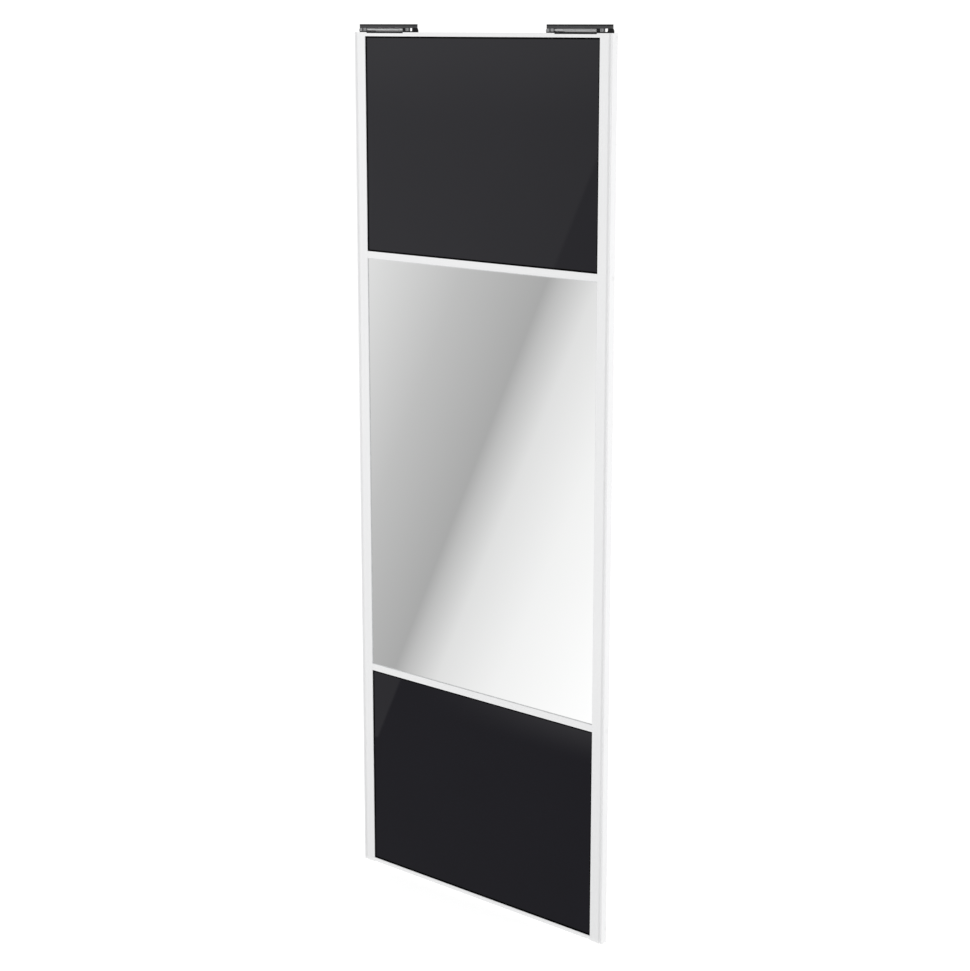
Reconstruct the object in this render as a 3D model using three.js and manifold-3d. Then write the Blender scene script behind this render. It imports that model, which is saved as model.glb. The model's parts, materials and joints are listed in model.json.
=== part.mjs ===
// Sliding wardrobe door: a three-pane leaf in a white profile frame. Millimetres.
// X runs to the right along the door, Y to the back, Z up. The origin lies under the middle
// of the door, level with the bottom of its wheels.
import * as THREE from 'three';
import { mergeVertices } from 'three/addons/utils/BufferGeometryUtils.js';
import Module from 'manifold-3d';

const wasm = await Module();
wasm.setup();

// ---------------------------------------------------------------- driving dimensions

const DOOR_WIDTH = 922;
const DOOR_DEPTH = 22;
const FRAME_BASE = 3; // the wheels stand this far out below the frame
const STILE_FACE = 41.5;
const BOTTOM_RAIL_FACE = 12.3;
const DIVIDER_FACE = 19.8;
const TOP_RAIL_FACE = 11;
const PANE_SIGHT_BOTTOM = 591; // visible heights of the three panes
const PANE_SIGHT_MIDDLE = 1200.5;
const PANE_SIGHT_TOP = 596;

const GLASS_FRONT = -8; // front of the panes, 3 behind the front of the stiles
const GLASS_THICK = 4;
const PANE_BITE = 7.5; // how far a pane's edge reaches into the frame
const FILM_THICK = 0.3;
const GASKET_BASE = 1.2; // gasket around the pane's edge
const BLACK_LIP = 4.6; // gasket seen beyond the frame's edge, on the black panes
const CLEAR_LIP = 2; // and on the mirror

const FACE_FRONT = -10.4; // front of the rails, dividers and the stiles' inner flat
const LIP_BACK = -8.8; // back of the front lip of the pane channel
const CHANNEL_BACK = -3.2; // front of the rear lip of the pane channel
const REAR_LIP_BACK = -2;
const CHANNEL_FLOOR = 9.2; // from the stile's inner edge to its box
const WALL = 1.4;
const GAP = 0.1; // between pieces that only touch

const TOP_BOX_HEIGHT = 26;
const BOTTOM_BOX_HEIGHT = 45;
const DIVIDER_BACK = 4.8;
const RAIL_SCREW_Y = 3.9; // middle of the boxes behind the panes
const DIVIDER_SCREW_Y = 0.8;

const ROLLER_FROM_MIDDLE = 345;
const WHEEL_RADIUS = 15;
const WHEEL_WIDTH = 6;
const AXLE_RADIUS = 2.5;
const ADJUSTER_X = 24; // from the wheel's axle, towards the stile
const ROLLER_SCREW_X = 36.2;

// Both closers face the same way. Their sizes along X are from the closer's middle.
const CLOSER_MIDDLES = { left: -338, right: 344.3 };
const CLOSER_SCREWS = { catch_end: -97.6, fixed_end: 94 };
const CLOSER_HEIGHT = 21.6;
const CLOSER_DEPTH = 18;
const CHANNEL_HALF = 102.3;
const CHANNEL_BASE = 11.2; // underside of the dark channel, above the top rail
const CHANNEL_WALL = 1.2;
const CHANNEL_ROOF = 3.4;
const PLATE_TOP = 3.1;
const NOTCH = { from: -75, to: 65, deep: 2.6 }; // in the top rail's front, for the base's lip
const DAMPER_HEIGHT = 7.4; // axis of the damper above the top rail
const DAMPER_RADIUS = 3.7;
const DAMPER_START = -56;
const DAMPER_END = 64;
const ROD_RADIUS = 1.25;
const SLEEVE_RADIUS = 4.1;
const SLEEVE_LENGTH = 32;
const CATCH_START = -91;
const CATCH_END = -81;
const CATCH_TRAVEL = 22;
const SPRING_HEIGHT = 14.9;
const SPRING_RADIUS = 2.2;
const SPRING_END = 65.7;

// ---------------------------------------------------------------- worked-out levels

const HALF_WIDTH = DOOR_WIDTH / 2;
const HALF_SIGHT = HALF_WIDTH - STILE_FACE; // middle of the door to a stile's inner edge
const BACK = DOOR_DEPTH / 2;
const BOTTOM_SIGHT = FRAME_BASE + BOTTOM_RAIL_FACE;
const LOWER_DIVIDER = BOTTOM_SIGHT + PANE_SIGHT_BOTTOM + DIVIDER_FACE / 2;
const UPPER_DIVIDER = LOWER_DIVIDER + DIVIDER_FACE + PANE_SIGHT_MIDDLE;
const TOP_SIGHT = UPPER_DIVIDER + DIVIDER_FACE / 2 + PANE_SIGHT_TOP;
const FRAME_TOP = TOP_SIGHT + TOP_RAIL_FACE;
const RAIL_HALF = HALF_SIGHT + CHANNEL_FLOOR - GAP;

const TOWER_TOP = CLOSER_HEIGHT - CHANNEL_ROOF - GAP; // for what stands inside the channel
const TOWER_HALF = CLOSER_DEPTH / 2 - CHANNEL_WALL - GAP;

const closerScrewPlaces = Object.values(CLOSER_MIDDLES).flatMap((middle) =>
  Object.values(CLOSER_SCREWS).map((along) => middle + along),
);

// The frame is screwed through the stiles at each rail and divider.
const CORNERS = {
  bottom: { y: RAIL_SCREW_Y, z: FRAME_BASE + 40.5 },
  lower: { y: DIVIDER_SCREW_Y, z: LOWER_DIVIDER },
  upper: { y: DIVIDER_SCREW_Y, z: UPPER_DIVIDER },
  top: { y: RAIL_SCREW_Y, z: FRAME_TOP - 13 },
};

// ---------------------------------------------------------------- finishes

const finish = (color, roughness, metalness) =>
  new THREE.MeshStandardMaterial({ color, roughness, metalness });

const whiteLacquer = finish(0xf1f1f2, 0.35, 0);
const whitePlastic = finish(0xededee, 0.45, 0);
const blackGlass = finish(0x26262a, 0.04, 0);
const mirrorGlass = finish(0xdfe2e3, 0.02, 1);
const paleFilm = finish(0xc9cbcc, 0.6, 0);
const blackRubber = finish(0x0c0c0d, 0.7, 0);
const clearRubber = finish(0xcfd2d3, 0.4, 0);
const zincSteel = finish(0xb9bcc0, 0.35, 1);
const darkPlastic = finish(0x1b1b1d, 0.45, 0);
const greyPlastic = finish(0x6d6f72, 0.5, 0);
const darkSteel = finish(0x3c3c3f, 0.4, 0.6);
const brightSteel = finish(0xd2d4d6, 0.18, 1);
const satinAluminium = finish(0xc4c6c8, 0.45, 1);
const paleNylon = finish(0xe4e2da, 0.4, 0);

// ---------------------------------------------------------------- shape helpers

const triples = (list) =>
  Array.from({ length: list.length / 3 }, (_, i) => [...list.slice(3 * i, 3 * i + 3)]);

// Triangles that collapse where a lathe's profile meets its axis are dropped.
const closed = (geometry) => {
  const bare = geometry.clone();
  bare.deleteAttribute('normal');
  bare.deleteAttribute('uv');
  const merged = mergeVertices(bare, 1e-4);
  const faces = triples(merged.index.array).filter(([a, b, c]) => a !== b && b !== c && c !== a);
  return new wasm.Manifold(
    new wasm.Mesh({
      numProp: 3,
      vertProperties: new Float32Array(merged.attributes.position.array),
      triVerts: new Uint32Array(faces.flat()),
    }),
  );
};

const opened = (solid) => {
  const mesh = solid.getMesh();
  const geometry = new THREE.BufferGeometry();
  geometry.setAttribute('position', new THREE.BufferAttribute(mesh.vertProperties, 3));
  geometry.setIndex(new THREE.BufferAttribute(mesh.triVerts, 1));
  geometry.computeVertexNormals();
  return geometry;
};

// The first shape, with the others joined to it or cut out of it.
const joined = (first, ...others) =>
  opened(others.reduce((solid, other) => solid.add(closed(other)), closed(first)));
const cut = (first, ...others) =>
  opened(others.reduce((solid, other) => solid.subtract(closed(other)), closed(first)));

const block = ([x0, x1], [y0, y1], [z0, z1]) =>
  new THREE.BoxGeometry(x1 - x0, y1 - y0, z1 - z0).translate(
    (x0 + x1) / 2,
    (y0 + y1) / 2,
    (z0 + z1) / 2,
  );

// Outlines run anticlockwise and holes clockwise, whichever way they are listed.
const turnedPoints = (list, clockwise) => {
  const points = list.map(([a, b]) => new THREE.Vector2(a, b));
  return THREE.ShapeUtils.isClockWise(points) === clockwise ? points : points.reverse();
};

const shapeOf = (outline, holes) => {
  const shape = new THREE.Shape(turnedPoints(outline, false));
  shape.holes = holes.map((hole) => new THREE.Path(turnedPoints(hole, true)));
  return shape;
};

const extruded = (outline, holes, length) =>
  new THREE.ExtrudeGeometry(shapeOf(outline, holes), {
    depth: length,
    bevelEnabled: false,
    curveSegments: 8,
  });

const AXIS = {
  x: new THREE.Vector3(1, 0, 0),
  y: new THREE.Vector3(0, 1, 0),
  z: new THREE.Vector3(0, 0, 1),
};

// A bar along Z whose section is drawn in X and Y.
const postAlongZ = (outline, holes, z0, z1) =>
  extruded(outline, holes, z1 - z0).translate(0, 0, z0);

// A bar along X whose section is drawn in Y and Z.
const barAlongX = (outline, holes, x0, x1) =>
  extruded(outline, holes, x1 - x0)
    .applyMatrix4(new THREE.Matrix4().makeBasis(AXIS.y, AXIS.z, AXIS.x))
    .translate(x0, 0, 0);

// A slab across Y whose outline is drawn in X and Z.
const slabAcrossY = (outline, halfDepth) =>
  extruded(outline, [], 2 * halfDepth)
    .applyMatrix4(new THREE.Matrix4().makeBasis(AXIS.x, AXIS.z, AXIS.y.clone().negate()))
    .translate(0, halfDepth, 0);

// A lathe whose profile is radius against place along the axis.
const turned = (profile, axis, segments) => {
  const points = profile.map(([radius, along]) => new THREE.Vector2(radius, along));
  const geometry = new THREE.LatheGeometry(points, segments);
  if (axis === 'x') geometry.rotateZ(-Math.PI / 2);
  if (axis === 'z') geometry.rotateX(Math.PI / 2);
  return geometry;
};

const rod = (axis, radius, from, to, segments = 16) =>
  turned([[0, from], [radius, from], [radius, to], [0, to]], axis, segments);

const rectangle = ([a0, a1], [b0, b1]) => [[a0, b0], [a1, b0], [a1, b1], [a0, b1]];

const arc = (centreA, centreB, radius, fromDegrees, toDegrees, steps) =>
  Array.from({ length: steps + 1 }, (_, i) => {
    const angle = THREE.MathUtils.degToRad(
      fromDegrees + ((toDegrees - fromDegrees) * i) / steps,
    );
    return [centreA + radius * Math.cos(angle), centreB + radius * Math.sin(angle)];
  });

const door = new THREE.Group();

const place = (parent, name, geometry, material) => {
  const mesh = new THREE.Mesh(geometry, material);
  mesh.name = name;
  parent.add(mesh);
  return mesh;
};

// ---------------------------------------------------------------- stiles

const FLAT_END = 14; // inner flat of the stile's face
const CREST_START = 19;
const GROOVE_START = 28;
const GROOVE_END = 38.6;
const GROOVE_DEPTH = 3.6;
const CORNER = 2.2;

// Front of a stile's face at a distance from its inner edge: a flat, a low crest,
// and the shallow grip groove beside the outer edge.
const stileFront = (fromInner) => {
  if (fromInner <= FLAT_END) return FACE_FRONT;
  if (fromInner <= CREST_START) {
    const share = (fromInner - FLAT_END) / (CREST_START - FLAT_END);
    return FACE_FRONT + (-BACK - FACE_FRONT) * (0.5 - 0.5 * Math.cos(Math.PI * share));
  }
  if (fromInner <= GROOVE_START || fromInner >= GROOVE_END) return -BACK;
  const share = (fromInner - GROOVE_START) / (GROOVE_END - GROOVE_START);
  return -BACK + GROOVE_DEPTH * Math.sin(Math.PI * share) ** 2;
};

const spaced = (from, to, steps) =>
  Array.from({ length: steps + 1 }, (_, i) => from + ((to - from) * i) / steps);

const stile = (side) => {
  const toDoor = ([fromInner, depth]) => [side * (HALF_SIGHT + fromInner), depth];
  const face = [0, ...spaced(FLAT_END, CREST_START, 3), ...spaced(GROOVE_START, GROOVE_END, 10)];
  const outline = [
    ...face.map((fromInner) => [fromInner, stileFront(fromInner)]),
    ...arc(STILE_FACE - CORNER, -BACK + CORNER, CORNER, -90, 0, 5),
    ...arc(STILE_FACE - CORNER, BACK - CORNER, CORNER, 0, 90, 5),
    [CHANNEL_FLOOR, BACK],
    [CHANNEL_FLOOR, REAR_LIP_BACK],
    [0, REAR_LIP_BACK],
    [0, CHANNEL_BACK],
    [CHANNEL_FLOOR, CHANNEL_BACK],
    [CHANNEL_FLOOR, LIP_BACK],
    [0, LIP_BACK],
  ];
  const inside = [...spaced(FLAT_END, CREST_START, 3), ...spaced(GROOVE_START, GROOVE_END, 10)];
  const chamber = [
    [CHANNEL_FLOOR + WALL, FACE_FRONT + WALL],
    ...inside.map((fromInner) => [fromInner, stileFront(fromInner) + WALL]),
    [STILE_FACE - WALL, -BACK + CORNER + 0.6],
    [STILE_FACE - WALL, BACK - CORNER - 0.6],
    [STILE_FACE - CORNER - 0.6, BACK - WALL],
    [CHANNEL_FLOOR + WALL, BACK - WALL],
  ];
  const bar = postAlongZ(outline.map(toDoor), [chamber.map(toDoor)], FRAME_BASE, FRAME_TOP);
  const holes = Object.values(CORNERS).flatMap(({ y, z }) =>
    [[STILE_FACE, 4.5], [CHANNEL_FLOOR, 2.2]].map(([fromInner, radius]) => {
      const middle = side * (HALF_SIGHT + fromInner);
      return rod('x', radius, middle - 4, middle + 4).translate(0, y, z);
    }),
  );
  return cut(bar, ...holes);
};

// The closers' screws go into the top rail and into the plugs in the tops of the stiles.
const closerScrewHoles = () =>
  closerScrewPlaces.map((x) => rod('z', 1.9, -12, 4).translate(x, 0, FRAME_TOP));

// A plug that closes the top of a stile's box, above the top corner's screw.
const stilePlug = (side) => {
  const ends = [CHANNEL_FLOOR + WALL + GAP, STILE_FACE - WALL - GAP]
    .map((fromInner) => side * (HALF_SIGHT + fromInner))
    .sort((a, b) => a - b);
  const depth = [-BACK + GROOVE_DEPTH + WALL + 0.2, BACK - CORNER - 0.7];
  return cut(block(ends, depth, [FRAME_TOP - 8, FRAME_TOP - GAP]), ...closerScrewHoles());
};

// ---------------------------------------------------------------- rails and dividers

// Rails run behind the stiles' pane channels to the stiles' boxes, so their fronts are
// cut back to the stiles' inner edges.
const trimmedBar = (outline, chambers, screw) => {
  const bar = barAlongX(outline, chambers, -RAIL_HALF, RAIL_HALF);
  const tools = [-1, 1].flatMap((side) => {
    const ends = [side * (HALF_SIGHT - GAP), side * (RAIL_HALF + 5)].sort((a, b) => a - b);
    const screwEnds = [side * (HALF_SIGHT - 24), side * (RAIL_HALF + 5)].sort((a, b) => a - b);
    return [
      block(ends, [FACE_FRONT - 2, REAR_LIP_BACK + GAP], [screw.z - 60, screw.z + 60]),
      rod('x', 2.2, ...screwEnds).translate(0, screw.y, screw.z),
    ];
  });
  return cut(bar, ...tools);
};

const railTop = () => {
  const z = (down) => FRAME_TOP - down;
  const outline = [
    [FACE_FRONT, z(0)],
    [FACE_FRONT, z(TOP_RAIL_FACE)],
    [LIP_BACK, z(TOP_RAIL_FACE)],
    [LIP_BACK, z(1.8)],
    [CHANNEL_BACK, z(1.8)],
    [CHANNEL_BACK, z(TOP_BOX_HEIGHT)],
    [BACK, z(TOP_BOX_HEIGHT)],
    [BACK, z(0)],
  ];
  const across = [CHANNEL_BACK + WALL, BACK - WALL];
  const chambers = [
    rectangle(across, [z(9.5), z(WALL)]),
    rectangle(across, [z(TOP_BOX_HEIGHT - WALL), z(16.5)]),
  ];
  const notches = Object.values(CLOSER_MIDDLES).map((middle) =>
    block(
      [middle + NOTCH.from, middle + NOTCH.to],
      [FACE_FRONT - 1, LIP_BACK + GAP / 2],
      [z(NOTCH.deep), z(-1)],
    ),
  );
  return cut(trimmedBar(outline, chambers, CORNERS.top), ...closerScrewHoles(), ...notches);
};

const railBottom = () => {
  const z = (up) => FRAME_BASE + up;
  const outline = [
    [FACE_FRONT + 1.3, z(0)],
    [FACE_FRONT, z(3.4)],
    [FACE_FRONT, z(BOTTOM_RAIL_FACE)],
    [LIP_BACK, z(BOTTOM_RAIL_FACE)],
    [LIP_BACK, z(2.6)],
    [CHANNEL_BACK, z(2.6)],
    [CHANNEL_BACK, z(BOTTOM_BOX_HEIGHT)],
    [BACK, z(BOTTOM_BOX_HEIGHT)],
    [BACK, z(0)],
  ];
  const across = [CHANNEL_BACK + WALL, BACK - WALL];
  const bar = trimmedBar(outline, [rectangle(across, [z(WALL), z(36)])], CORNERS.bottom);
  const openings = [-1, 1].flatMap((side) => {
    const at = (along) => side * (ROLLER_FROM_MIDDLE + along);
    const slot = [at(-20), at(32)].sort((a, b) => a - b);
    const depth = [RAIL_SCREW_Y - 5.2, RAIL_SCREW_Y + 5.2];
    return [
      block(slot, depth, [z(-2), z(WALL + 1)]),
      rod('z', 3.5, z(34), z(BOTTOM_BOX_HEIGHT + 2)).translate(at(ADJUSTER_X), RAIL_SCREW_Y, 0),
      rod('z', 1.9, z(-2), z(WALL + 1)).translate(at(ROLLER_SCREW_X), RAIL_SCREW_Y, 0),
    ];
  });
  return cut(bar, ...openings);
};

const divider = (screw) => {
  const half = DIVIDER_FACE / 2;
  const z = (up) => screw.z + up;
  const outline = [
    [FACE_FRONT, z(-half)],
    [LIP_BACK, z(-half)],
    [LIP_BACK, z(-1)],
    [CHANNEL_BACK, z(-1)],
    [CHANNEL_BACK, z(-half)],
    [DIVIDER_BACK, z(-half)],
    [DIVIDER_BACK, z(half)],
    [CHANNEL_BACK, z(half)],
    [CHANNEL_BACK, z(1)],
    [LIP_BACK, z(1)],
    [LIP_BACK, z(half)],
    [FACE_FRONT, z(half)],
  ];
  const across = [CHANNEL_BACK + WALL, DIVIDER_BACK - WALL];
  const chambers = [
    rectangle(across, [z(3.6), z(half - WALL)]),
    rectangle(across, [z(WALL - half), z(-3.6)]),
  ];
  return trimmedBar(outline, chambers, screw);
};

// ---------------------------------------------------------------- panes

const paneSpan = HALF_SIGHT + PANE_BITE;

const pane = (low, high) =>
  block(
    [-paneSpan, paneSpan],
    [GLASS_FRONT, GLASS_FRONT + GLASS_THICK],
    [low - PANE_BITE, high + PANE_BITE],
  );

// Safety film on the back of the pane, inside the gasket's rear leg.
const film = (low, high, lip) => {
  const front = GLASS_FRONT + GLASS_THICK + 0.05;
  const inset = lip + 1;
  return block(
    [inset - HALF_SIGHT, HALF_SIGHT - inset],
    [front, front + FILM_THICK],
    [low + inset, high - inset],
  );
};

// A U-shaped gasket all round the pane's edge.
const gasket = (low, high, lip) => {
  const reach = PANE_BITE + GASKET_BASE;
  const outer = HALF_SIGHT + reach;
  const inner = HALF_SIGHT - lip;
  const depth = [LIP_BACK + GAP, CHANNEL_BACK - GAP];
  const slot = [GLASS_FRONT - GAP / 2, GLASS_FRONT + GLASS_THICK + GAP / 2];
  const edge = paneSpan + GAP / 2;
  const body = block([-outer, outer], depth, [low - reach, high + reach]);
  const window = block([-inner, inner], [-20, 20], [low + lip, high - lip]);
  const groove = block(
    [-edge, edge],
    slot,
    [low - PANE_BITE - GAP / 2, high + PANE_BITE + GAP / 2],
  );
  return cut(body, window, groove);
};

// ---------------------------------------------------------------- frame fixings

// A pan-head screw along X, from inside the stile's box into the rail.
const frameScrew = (side, { y, z }) => {
  const seat = HALF_SIGHT + CHANNEL_FLOOR + WALL + GAP;
  const screw = turned(
    [[0, seat - 32], [1.2, seat - 32], [2, seat - 29], [2, seat], [4, seat],
      [4, seat + 1.6], [3, seat + 2.6], [0, seat + 2.6]],
    'x',
    16,
  );
  const socket = rod('x', 1.4, seat + 1, seat + 4, 6);
  return cut(screw, socket).rotateZ(side > 0 ? 0 : Math.PI).translate(0, y, z);
};

// ---------------------------------------------------------------- bottom rollers
// Drawn about the wheel's axle, with +X towards the nearer stile and Z from the floor.

const rollerHousing = () => {
  const legs = joined(
    block([-29, -19.4], [-5.4, 5.4], [4.7, 38.7]),
    block([31.4, 41], [-5.4, 5.4], [4.7, 38.7]),
    block([-20, 32], [-5.4, 5.4], [34.4, 38.7]),
  );
  return cut(
    legs,
    rod('z', 2.3, 30, 40).translate(ADJUSTER_X, 0, 0),
    rod('z', 4.2, 36.3, 40).translate(ADJUSTER_X, 0, 0),
    rod('z', 1.9, 0, 20).translate(ROLLER_SCREW_X, 0, 0),
  );
};

const rollerCarrier = () =>
  cut(
    block([-19, 31], [-4.9, 4.9], [6, 34]),
    block([-16.4, 16.4], [-3.4, 3.4], [0, 31.4]),
    rod('y', AXLE_RADIUS + GAP, -8, 8, 24).translate(0, 0, WHEEL_RADIUS),
    rod('z', 2.2, 0, 40).translate(ADJUSTER_X, 0, 0),
  );

const rollerWheel = () => {
  const half = WHEEL_WIDTH / 2;
  const bore = AXLE_RADIUS + GAP;
  return turned(
    [[bore, -half], [5.2, -half], [5.6, -half + 0.9], [11.4, -half + 0.9], [12, -half],
      [14.4, -half], [WHEEL_RADIUS, -half + 0.7], [13.6, -0.5], [13.6, 0.5],
      [WHEEL_RADIUS, half - 0.7], [14.4, half], [12, half], [11.4, half - 0.9],
      [5.6, half - 0.9], [5.2, half], [bore, half], [bore, -half]],
    'y',
    32,
  ).translate(0, 0, WHEEL_RADIUS);
};

const rollerAxle = () =>
  rod('y', AXLE_RADIUS, -4.9, 4.9, 24).translate(0, 0, WHEEL_RADIUS);

const rollerAdjuster = () => {
  const profile = [[0, 12], [1.6, 12], [2, 12.6], [2, 36.6], [3.7, 36.6], [3.7, 38.6], [0, 38.6]];
  const socket = rod('z', 1.6, 37.4, 40, 6);
  return cut(turned(profile, 'z', 16), socket).translate(ADJUSTER_X, 0, 0);
};

const rollerScrew = () => {
  const profile = [[0, 1.2], [2.4, 1.2], [3.4, 2], [3.4, 2.8], [1.7, 2.8], [1.7, 17], [0, 18]];
  const socket = rod('z', 1, 0, 2, 6);
  return cut(turned(profile, 'z', 16), socket).translate(ROLLER_SCREW_X, 0, 0);
};

const rollerUnit = (side, label) => {
  const unit = new THREE.Group();
  unit.position.set(side * ROLLER_FROM_MIDDLE, RAIL_SCREW_Y, 0);
  unit.rotation.z = side > 0 ? 0 : Math.PI;
  place(unit, `roller_housing_${label}`, rollerHousing(), greyPlastic);
  place(unit, `roller_carrier_${label}`, rollerCarrier(), zincSteel);
  place(unit, `roller_wheel_${label}`, rollerWheel(), paleNylon);
  place(unit, `roller_axle_${label}`, rollerAxle(), brightSteel);
  place(unit, `roller_adjuster_${label}`, rollerAdjuster(), zincSteel);
  place(unit, `roller_screw_${label}`, rollerScrew(), zincSteel);
  return unit;
};

// ---------------------------------------------------------------- soft closers
// Drawn about their middle, with +X to the right and Z from the top rail.

const closerBlock = (from, to, halfDepth, low, high) =>
  block([from, to], [-halfDepth, halfDepth], [low, high]);

const screwWay = (radius, along, low, high) => rod('z', radius, low, high).translate(along, 0, 0);

// The moulded base: a plate with a flared foot at its fixed end, a block that holds the
// damper's closed end and the spring, and a lip that drops into the notch in the top
// rail's front.
const closerBase = () => {
  const footStart = 99;
  const foot = slabAcrossY(
    [[footStart, GAP], [106, GAP], [106, 5.4], [103.6, CHANNEL_BASE - 0.3],
      [footStart, CHANNEL_BASE - 0.3]],
    CLOSER_DEPTH / 2,
  );
  const lipSpan = [NOTCH.from + 2 * GAP, NOTCH.to - 2 * GAP];
  const lipFront = FACE_FRONT + 2 * GAP;
  const solid = joined(
    closerBlock(-104.4, 104, 8.2, GAP, PLATE_TOP),
    block(lipSpan, [lipFront, -8], [GAP, PLATE_TOP]),
    block(lipSpan, [lipFront, LIP_BACK - GAP / 2], [GAP - NOTCH.deep, 1]),
    foot,
    closerBlock(footStart, CHANNEL_HALF - 0.2, TOWER_HALF, 5, TOWER_TOP),
    closerBlock(61, 72, 6.8, 1, TOWER_TOP),
  );
  const damperSeat = rod('x', DAMPER_RADIUS + 0.3, DAMPER_START, DAMPER_END + 0.3)
    .translate(0, 0, DAMPER_HEIGHT);
  const springSeat = rod('x', SPRING_RADIUS + 0.3, 50, SPRING_END + 0.3)
    .translate(0, 0, SPRING_HEIGHT);
  const ways = Object.values(CLOSER_SCREWS).map((along) => screwWay(1.9, along, -2, 6));
  return cut(solid, damperSeat, springSeat, ...ways);
};

// The grey foot at the catch's end: it stands on the base plate, and its tower fills the
// end of the channel.
const closerFoot = () => {
  const inner = -94;
  const low = PLATE_TOP + GAP;
  const solid = joined(
    slabAcrossY(
      [[inner, low], [inner, CHANNEL_BASE - 0.3], [-103.6, CHANNEL_BASE - 0.3], [-105.4, 6],
        [-105.4, low]],
      CLOSER_DEPTH / 2,
    ),
    closerBlock(0.2 - CHANNEL_HALF, inner, TOWER_HALF, 8, TOWER_TOP),
  );
  return cut(
    solid,
    screwWay(1.9, CLOSER_SCREWS.catch_end, 0, 25),
    screwWay(3, CLOSER_SCREWS.catch_end, 5.4, 25),
  );
};

// The grey clip that locks the channel to the base from the front, with a finger notch.
const closerClip = () =>
  cut(
    block([73, 84], [0.2 - TOWER_HALF, 0.2], [PLATE_TOP + GAP, TOWER_TOP]),
    block([75.4, 81.6], [-9, 1.6 - TOWER_HALF], [5.2, 9.6]),
  );

// The dark channel: an upside-down trough over the mechanism, with a black roof strip set
// off by a fine groove, the slot for the track's striker and two holes for the hexagon key.
const closerChannel = () => {
  const half = CLOSER_DEPTH / 2;
  const inner = half - CHANNEL_WALL;
  const roof = CLOSER_HEIGHT - CHANNEL_ROOF;
  const groove = CLOSER_HEIGHT - 2.4;
  const grooveDepth = 0.3;
  const edge = 0.6;
  const front = [
    [-inner, CHANNEL_BASE],
    [-half, CHANNEL_BASE],
    [-half, groove - 0.3],
    [grooveDepth - half, groove - 0.3],
    [grooveDepth - half, groove],
    [-half, groove],
    [-half, CLOSER_HEIGHT - edge],
    [edge - half, CLOSER_HEIGHT],
  ];
  const back = front.map(([y, z]) => [-y, z]).reverse();
  const outline = [...front, ...back, [inner, roof], [-inner, roof]];
  const keyHoles = Object.values(CLOSER_SCREWS).map((along) => screwWay(2.2, along, 15, 25));
  return cut(
    barAlongX(outline, [], -CHANNEL_HALF, CHANNEL_HALF),
    closerBlock(CATCH_START - 0.4, CATCH_END + CATCH_TRAVEL + 0.4, 3, 15, 25),
    ...keyHoles,
  );
};

const damperCylinder = () => {
  const bore = ROD_RADIUS + 0.35;
  const boreEnd = -22;
  const rim = DAMPER_RADIUS - 0.5;
  const crimp = DAMPER_END - 8;
  return turned(
    [[bore, DAMPER_START], [rim, DAMPER_START], [DAMPER_RADIUS, DAMPER_START + 0.6],
      [DAMPER_RADIUS, crimp], [rim, crimp + 0.6], [rim, crimp + 1.4], [DAMPER_RADIUS, crimp + 2],
      [DAMPER_RADIUS, DAMPER_END - 0.6], [rim, DAMPER_END], [0, DAMPER_END],
      [0, boreEnd], [bore, boreEnd], [bore, DAMPER_START]],
    'x',
    24,
  ).translate(0, 0, DAMPER_HEIGHT);
};

// The sleeve that slides over the damper with the catch, and keeps dirt off the rod.
const damperSleeve = () => {
  const start = CATCH_END + GAP;
  const end = start + SLEEVE_LENGTH;
  const inner = DAMPER_RADIUS + 0.15;
  const hole = ROD_RADIUS + 0.1;
  return turned(
    [[hole, start], [SLEEVE_RADIUS - 0.4, start], [SLEEVE_RADIUS, start + 0.5],
      [SLEEVE_RADIUS, end - 0.4], [inner + 0.1, end], [inner, end], [inner, start + 2],
      [hole, start + 2], [hole, start]],
    'x',
    24,
  ).translate(0, 0, DAMPER_HEIGHT);
};

const damperRod = () =>
  rod('x', ROD_RADIUS, CATCH_START + 1.6, DAMPER_START + 8, 16).translate(0, 0, DAMPER_HEIGHT);

// The catch: a block that slides on the base plate inside the channel. The fork on top
// takes the track's striker, and the damper's rod and the spring end in its back.
const closerCatch = () => {
  const middle = (CATCH_START + CATCH_END) / 2;
  return cut(
    joined(
      closerBlock(CATCH_START, CATCH_END, 6.8, PLATE_TOP + GAP, TOWER_TOP - 0.1),
      closerBlock(CATCH_START, CATCH_END, 2.6, 15, CLOSER_HEIGHT - 0.3),
    ),
    closerBlock(middle - 1.9, middle + 1.9, 10, TOWER_TOP - 1.6, 25),
    rod('x', ROD_RADIUS + 0.2, CATCH_START + 1.3, CATCH_END + 4).translate(0, 0, DAMPER_HEIGHT),
  );
};

// The spring's envelope: it pulls the catch towards the damper.
const closerSpring = () =>
  rod('x', SPRING_RADIUS, CATCH_END + 0.3, SPRING_END, 16).translate(0, 0, SPRING_HEIGHT);

// A pan-head screw along Z, whose head stands on the given height.
const closerScrew = (along, seat) => {
  const profile = [[0, -8.5], [1, -8.5], [1.7, -7], [1.7, seat], [2.8, seat],
    [2.8, seat + 1.4], [2, seat + 2.3], [0, seat + 2.3]];
  const socket = rod('z', 1.1, seat + 1.2, seat + 4, 6);
  return cut(turned(profile, 'z', 16), socket).translate(along, 0, 0);
};

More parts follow.
